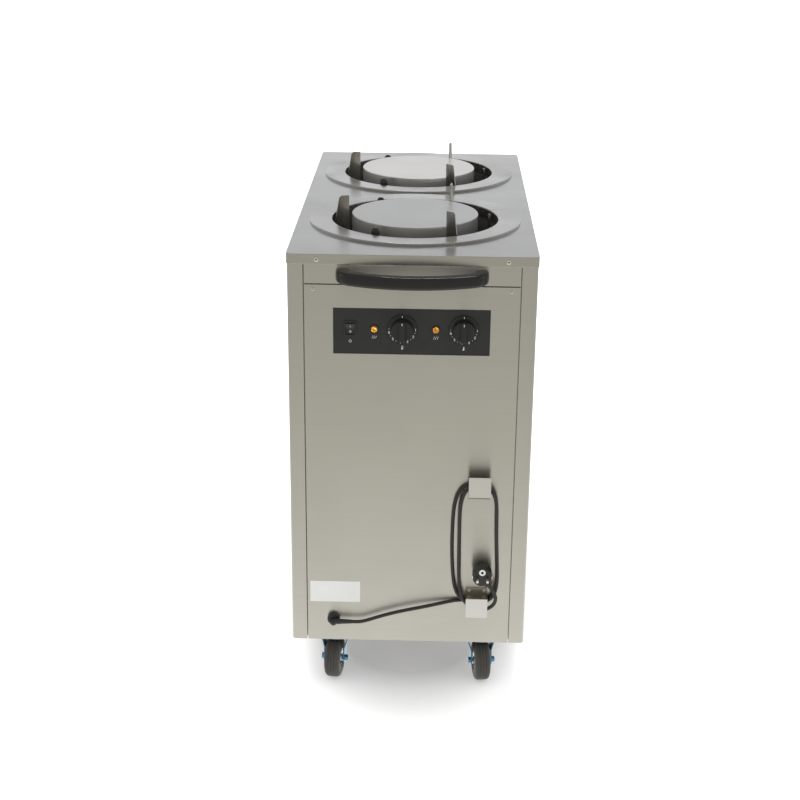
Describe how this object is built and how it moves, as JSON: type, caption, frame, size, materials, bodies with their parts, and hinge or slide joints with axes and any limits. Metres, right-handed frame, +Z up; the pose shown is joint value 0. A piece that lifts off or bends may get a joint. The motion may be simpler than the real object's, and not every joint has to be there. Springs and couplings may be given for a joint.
{
  "type": "plate warmer cabinet",
  "caption": "Mobile heated plate dispenser cabinet with round wells, sprung platforms, upright plate guides, front controls, push handle, cord hooks and swivel casters.",
  "frame": {"origin": "middle of the footprint at floor level, where the casters stand", "axes": "+Z up; -Y is the front with the controls and the push handle; +X is to the right of somebody who faces the front"},
  "size_m": [0.4526, 0.975, 0.92],
  "materials": {
    "brushed_skin": "fine horizontal brushing, satin",
    "deck_steel": "fine brushing, half polished",
    "well_steel": "half polished",
    "plain_steel": "mill finish",
    "spring_steel": "drawn wire",
    "screw_steel": "bright",
    "black_plate": "smooth, half gloss",
    "black_plastic": "fine texture",
    "knob_plastic": "gloss",
    "handle_plastic": "gloss",
    "lens_plastic": "translucent amber",
    "label_foil": "satin foil, blank",
    "caster_zinc": "blue zinc plate",
    "rim_steel": "bright zinc",
    "tyre_rubber": "matte",
    "cord_rubber": "matte",
    "plug_rubber": "matte",
    "plug_metal": "nickel plate",
    "heater_steel": "dark, heat tinted"
  },
  "bodies": {
    "cabinet": {"top_plate": "deck_steel", "left_side_panel": "brushed_skin", "right_side_panel": "brushed_skin", "front_top_rail": "brushed_skin", "front_panel": "brushed_skin", "rear_panel": "brushed_skin", "base_tray": "plain_steel", "control_fascia": "black_plate", "control_box": "plain_steel", "switch_housing": "black_plastic", "lamp_bezels": "black_plastic", "lamp_lenses": "lens_plastic", "dial_rings": "knob_plastic", "thermostats": "plain_steel", "push_handle": "handle_plastic", "upper_cord_hook": "brushed_skin", "lower_cord_hook": "brushed_skin", "hook_rivets": "screw_steel", "cable_gland": "black_plastic", "rating_plate": "label_foil", "cabinet_screws": "screw_steel", "front_well_ring": "deck_steel", "rear_well_ring": "deck_steel", "front_well_sleeve": "well_steel", "rear_well_sleeve": "well_steel", "heaters": "heater_steel", "carriage_rails": "well_steel", "guide_brackets": "plain_steel", "caster_mounts": "caster_zinc", "front_spring": "spring_steel", "rear_spring": "spring_steel", "cord_lead": "cord_rubber", "cord_winding": "cord_rubber", "plug_body": "plug_rubber", "plug_pins": "plug_metal"},
    "front_dispenser": {"front_platform": "well_steel", "front_carriage": "plain_steel"},
    "rear_dispenser": {"rear_platform": "well_steel", "rear_carriage": "plain_steel"},
    "front_guide_left": {"front_guide_left": "well_steel"},
    "front_guide_near": {"front_guide_near": "well_steel"},
    "front_guide_far": {"front_guide_far": "well_steel"},
    "rear_guide_left": {"rear_guide_left": "well_steel"},
    "rear_guide_near": {"rear_guide_near": "well_steel"},
    "rear_guide_far": {"rear_guide_far": "well_steel"},
    "front_well_knob": {"front_well_knob": "knob_plastic"},
    "rear_well_knob": {"rear_well_knob": "knob_plastic"},
    "switch_rocker": {"switch_rocker": "black_plastic"},
    "front_left_swivel": {"front_left_fork": "caster_zinc"},
    "front_right_swivel": {"front_right_fork": "caster_zinc"},
    "rear_left_swivel": {"rear_left_fork": "caster_zinc"},
    "rear_right_swivel": {"rear_right_fork": "caster_zinc"},
    "front_left_wheel": {"front_left_hub": "rim_steel", "front_left_tyre": "tyre_rubber"},
    "front_right_wheel": {"front_right_hub": "rim_steel", "front_right_tyre": "tyre_rubber"},
    "rear_left_wheel": {"rear_left_hub": "rim_steel", "rear_left_tyre": "tyre_rubber"},
    "rear_right_wheel": {"rear_right_hub": "rim_steel", "rear_right_tyre": "tyre_rubber"}
  },
  "joints": [
    {"name": "front_platform_slide", "type": "slide", "parent": "cabinet", "child": "front_dispenser", "axis": [0, 0, 1], "range_m": [-0.43, 0], "stiffness_N_per_m": 600, "springref_m": 0.1, "deforming": ["front_spring"]},
    {"name": "rear_platform_slide", "type": "slide", "parent": "cabinet", "child": "rear_dispenser", "axis": [0, 0, 1], "range_m": [-0.43, 0], "stiffness_N_per_m": 600, "springref_m": 0.1, "deforming": ["rear_spring"]},
    {"name": "front_guide_left_turn", "type": "hinge", "parent": "cabinet", "child": "front_guide_left", "pos_m": [-0.141, -0.15955, 0.78], "axis": [0, 0, 1], "range_deg": [-18, 72]},
    {"name": "front_guide_near_turn", "type": "hinge", "parent": "cabinet", "child": "front_guide_near", "pos_m": [0.0705, -0.28166, 0.78], "axis": [0, 0, 1], "range_deg": [-18, 72]},
    {"name": "front_guide_far_turn", "type": "hinge", "parent": "cabinet", "child": "front_guide_far", "pos_m": [0.0705, -0.03744, 0.78], "axis": [0, 0, 1], "range_deg": [-18, 72]},
    {"name": "rear_guide_left_turn", "type": "hinge", "parent": "cabinet", "child": "rear_guide_left", "pos_m": [-0.141, 0.26545, 0.78], "axis": [0, 0, 1], "range_deg": [-18, 72]},
    {"name": "rear_guide_near_turn", "type": "hinge", "parent": "cabinet", "child": "rear_guide_near", "pos_m": [0.0705, 0.14334, 0.78], "axis": [0, 0, 1], "range_deg": [-18, 72]},
    {"name": "rear_guide_far_turn", "type": "hinge", "parent": "cabinet", "child": "rear_guide_far", "pos_m": [0.0705, 0.38756, 0.78], "axis": [0, 0, 1], "range_deg": [-18, 72]},
    {"name": "front_well_knob_turn", "type": "hinge", "parent": "cabinet", "child": "front_well_knob", "pos_m": [-0.017, -0.42555, 0.7365], "axis": [0, 1, 0], "range_deg": [0, 273]},
    {"name": "rear_well_knob_turn", "type": "hinge", "parent": "cabinet", "child": "rear_well_knob", "pos_m": [0.0945, -0.42555, 0.7365], "axis": [0, 1, 0], "range_deg": [0, 273]},
    {"name": "switch_rocker_tilt", "type": "hinge", "parent": "cabinet", "child": "switch_rocker", "pos_m": [-0.111, -0.42135, 0.7365], "axis": [1, 0, 0], "range_deg": [-16, 0]},
    {"name": "front_left_swivel_turn", "type": "hinge", "parent": "cabinet", "child": "front_left_swivel", "pos_m": [-0.142, -0.36755, 0.088], "axis": [0, 0, 1], "continuous": true},
    {"name": "front_left_wheel_roll", "type": "hinge", "parent": "front_left_swivel", "child": "front_left_wheel", "pos_m": [-0.14496, -0.38733, 0.04], "axis": [0.989, -0.1478, 0], "continuous": true},
    {"name": "front_right_swivel_turn", "type": "hinge", "parent": "cabinet", "child": "front_right_swivel", "pos_m": [0.142, -0.36755, 0.088], "axis": [0, 0, 1], "continuous": true},
    {"name": "front_right_wheel_roll", "type": "hinge", "parent": "front_right_swivel", "child": "front_right_wheel", "pos_m": [0.14461, -0.38738, 0.04], "axis": [0.9914, 0.1305, 0], "continuous": true},
    {"name": "rear_left_swivel_turn", "type": "hinge", "parent": "cabinet", "child": "rear_left_swivel", "pos_m": [-0.142, 0.42645, 0.088], "axis": [0, 0, 1], "continuous": true},
    {"name": "rear_left_wheel_roll", "type": "hinge", "parent": "rear_left_swivel", "child": "rear_left_wheel", "pos_m": [-0.14061, 0.4065, 0.04], "axis": [0.9976, 0.0698, 0], "continuous": true},
    {"name": "rear_right_swivel_turn", "type": "hinge", "parent": "cabinet", "child": "rear_right_swivel", "pos_m": [0.142, 0.42645, 0.088], "axis": [0, 0, 1], "continuous": true},
    {"name": "rear_right_wheel_roll", "type": "hinge", "parent": "rear_right_swivel", "child": "rear_right_wheel", "pos_m": [0.13991, 0.40656, 0.04], "axis": [0.9945, -0.1045, 0], "continuous": true}
  ]
}
